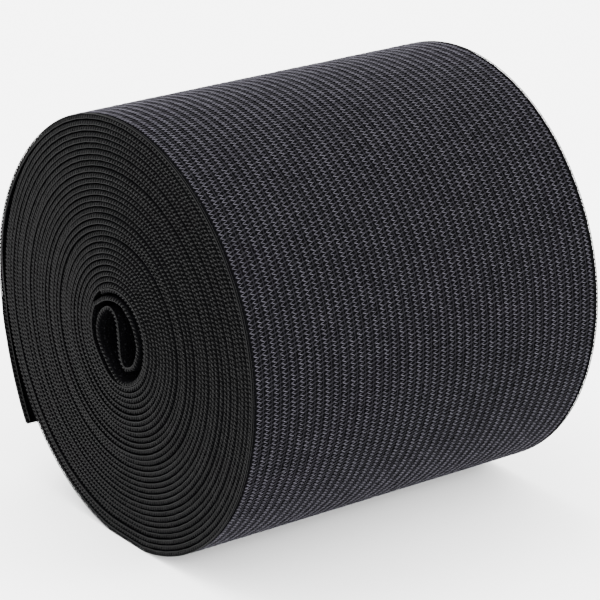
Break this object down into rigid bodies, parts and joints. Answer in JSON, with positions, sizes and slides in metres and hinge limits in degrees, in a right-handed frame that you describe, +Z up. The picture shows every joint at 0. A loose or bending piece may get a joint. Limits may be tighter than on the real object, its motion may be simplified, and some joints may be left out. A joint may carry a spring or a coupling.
{
  "type": "roll of elastic",
  "caption": "Wide black knitted elastic band wound on itself without a tube, lying on its side, with an S-shaped start in the middle and a loose end that lifts off the roll.",
  "frame": {"origin": "middle of the flat spot that the roll rests on", "axes": "+Z up; Y along the roll's axis, with the wound end that has the curled corner of the loose end facing -Y; +X to the right of someone who looks at that end, so the loose end is on the -X side"},
  "size_m": [0.0802, 0.0763, 0.0794],
  "materials": {
    "black_elastic": "matt knitted polyester over rubber, ribbed along the band"
  },
  "bodies": {
    "root": {"wound_roll": "black_elastic", "loose_end": "black_elastic"}
  },
  "joints": []
}
